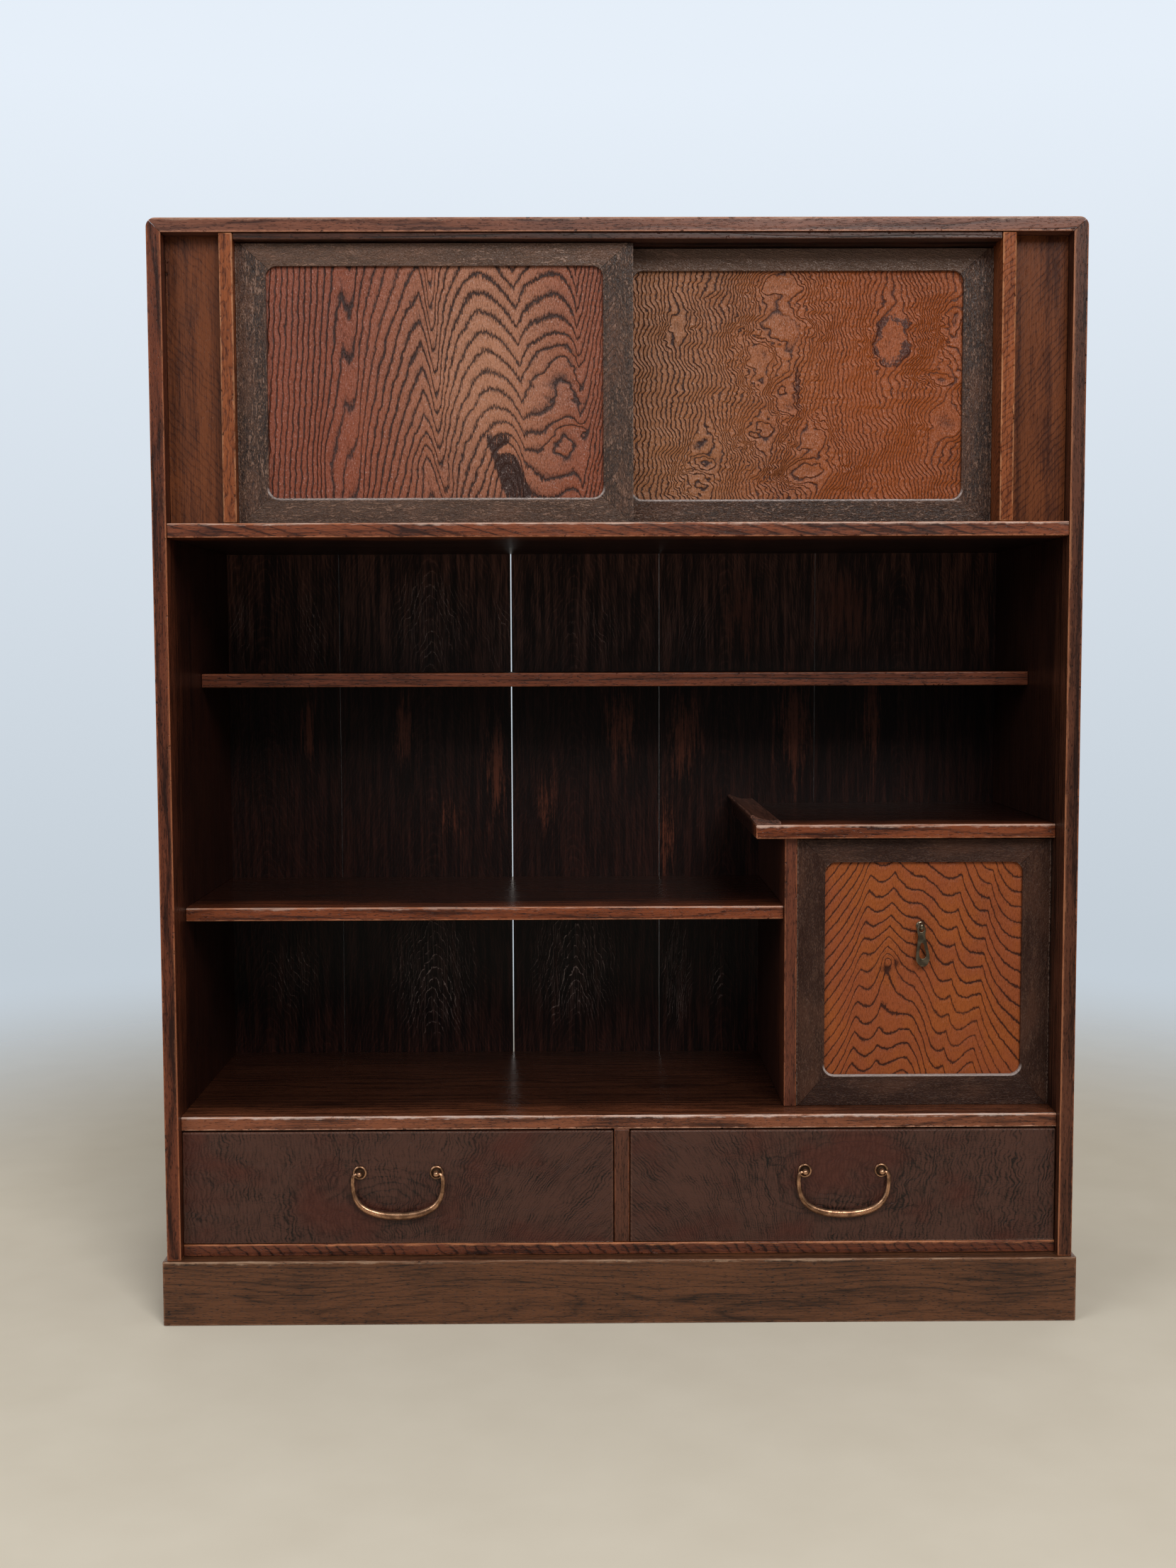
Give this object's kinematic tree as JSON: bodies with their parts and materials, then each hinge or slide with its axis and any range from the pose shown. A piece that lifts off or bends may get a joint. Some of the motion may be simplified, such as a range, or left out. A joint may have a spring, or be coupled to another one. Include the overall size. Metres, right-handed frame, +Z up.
{
  "type": "tea cabinet",
  "caption": "Low Japanese tea cabinet with sliding panel doors, open shelves, a lift-out cupboard door, drawers with bail handles and a plinth.",
  "frame": {"origin": "middle of the footprint, on the floor", "axes": "+X to the viewer's right, +Y to the back, +Z up; the front faces -Y"},
  "size_m": [0.917, 0.315, 1.091],
  "materials": {
    "side_wood": "dark red-brown lacquered zelkova, worn at the edges",
    "top_wood": "dark red-brown lacquered zelkova, worn at the edges",
    "track_wood": "dark lacquered wood",
    "shelf_wood": "dark red-brown lacquered wood with worn orange arrises",
    "stop_wood": "dark red-brown lacquered wood",
    "divider_wood": "dark red-brown lacquered wood",
    "post_wood": "orange-brown figured wood",
    "left_fixed_panel_wood": "dark brown wood with an orange streak",
    "right_fixed_panel_wood": "dark brown rippled wood with a knot",
    "back_wood": "very dark glossy boards, upright grain",
    "plinth_front_wood": "brown wood with a pale streak",
    "plinth_side_wood": "brown wood",
    "stile_wood": "grey-brown wood with a crackled surface",
    "rail_wood": "grey-brown wood with a crackled surface",
    "left_door_panel_wood": "red-brown flame-figured zelkova",
    "right_door_panel_wood": "orange burl-figured zelkova",
    "small_door_panel_wood": "orange zelkova with thin dark contour lines",
    "left_drawer_front_wood": "dark brown curly-figured wood",
    "right_drawer_front_wood": "dark brown curly-figured wood",
    "drawer_inner_wood": "bare softwood",
    "bronze": "patinated bronze",
    "pull_bronze": "grey-green patinated bronze"
  },
  "bodies": {
    "cabinet": {"left_side_board": "side_wood", "right_side_board": "side_wood", "top_board": "top_wood", "upper_track": "track_wood", "thin_shelf": "shelf_wood", "middle_shelf": "shelf_wood", "cupboard_top_shelf": "shelf_wood", "bottom_board": "shelf_wood", "door_floor_board": "shelf_wood", "floor_board": "shelf_wood", "brush_stop": "stop_wood", "cupboard_divider": "divider_wood", "drawer_divider": "divider_wood", "left_post": "post_wood", "right_post": "post_wood", "left_fixed_panel": "left_fixed_panel_wood", "right_fixed_panel": "right_fixed_panel_wood", "back_board_1": "back_wood", "back_board_2": "back_wood", "back_board_3": "back_wood", "back_board_4": "back_wood", "back_board_5": "back_wood", "plinth_front": "plinth_front_wood", "plinth_back": "plinth_front_wood", "plinth_left": "plinth_side_wood", "plinth_right": "plinth_side_wood"},
    "left_door": {"left_door_left_stile": "stile_wood", "left_door_right_stile": "stile_wood", "left_door_top_rail": "rail_wood", "left_door_foot_rail": "rail_wood", "left_door_panel": "left_door_panel_wood"},
    "right_door": {"right_door_left_stile": "stile_wood", "right_door_right_stile": "stile_wood", "right_door_top_rail": "rail_wood", "right_door_foot_rail": "rail_wood", "right_door_panel": "right_door_panel_wood"},
    "small_door": {"small_door_left_stile": "stile_wood", "small_door_right_stile": "stile_wood", "small_door_top_rail": "rail_wood", "small_door_foot_rail": "rail_wood", "small_door_panel": "small_door_panel_wood", "small_door_pull_eye": "pull_bronze"},
    "small_door_pull": {"small_door_pull_drop": "pull_bronze"},
    "left_drawer": {"left_drawer_front": "left_drawer_front_wood", "left_drawer_left_side": "drawer_inner_wood", "left_drawer_right_side": "drawer_inner_wood", "left_drawer_back": "drawer_inner_wood", "left_drawer_bottom": "drawer_inner_wood", "left_drawer_left_handle_post": "bronze", "left_drawer_right_handle_post": "bronze"},
    "left_bail": {"left_drawer_bail": "bronze"},
    "right_drawer": {"right_drawer_front": "right_drawer_front_wood", "right_drawer_left_side": "drawer_inner_wood", "right_drawer_right_side": "drawer_inner_wood", "right_drawer_back": "drawer_inner_wood", "right_drawer_bottom": "drawer_inner_wood", "right_drawer_left_handle_post": "bronze", "right_drawer_right_handle_post": "bronze"},
    "right_bail": {"right_drawer_bail": "bronze"}
  },
  "joints": [
    {"name": "left_door_slide", "type": "slide", "parent": "cabinet", "child": "left_door", "axis": [1, 0, 0], "range_m": [0, 0.357]},
    {"name": "right_door_slide", "type": "slide", "parent": "cabinet", "child": "right_door", "axis": [-1, 0, 0], "range_m": [0, 0.357]},
    {"name": "small_door_lift", "type": "slide", "parent": "cabinet", "child": "small_door", "axis": [0, 0, 1], "range_m": [0, 0.0021]},
    {"name": "small_door_pull_swing", "type": "hinge", "parent": "small_door", "child": "small_door_pull", "pos_m": [0.3085, -0.1089, 0.39355], "axis": [-1, 0, 0], "range_deg": [-6, 150]},
    {"name": "left_drawer_slide", "type": "slide", "parent": "cabinet", "child": "left_drawer", "axis": [0, -1, 0], "range_m": [0, 0.25]},
    {"name": "right_drawer_slide", "type": "slide", "parent": "cabinet", "child": "right_drawer", "axis": [0, -1, 0], "range_m": [0, 0.25]},
    {"name": "left_bail_swing", "type": "hinge", "parent": "left_drawer", "child": "left_bail", "pos_m": [-0.2231, -0.148, 0.1509], "axis": [-1, 0, 0], "range_deg": [-2.5, 160]},
    {"name": "right_bail_swing", "type": "hinge", "parent": "right_drawer", "child": "right_bail", "pos_m": [0.2253, -0.148, 0.1509], "axis": [-1, 0, 0], "range_deg": [-2.5, 160]}
  ]
}
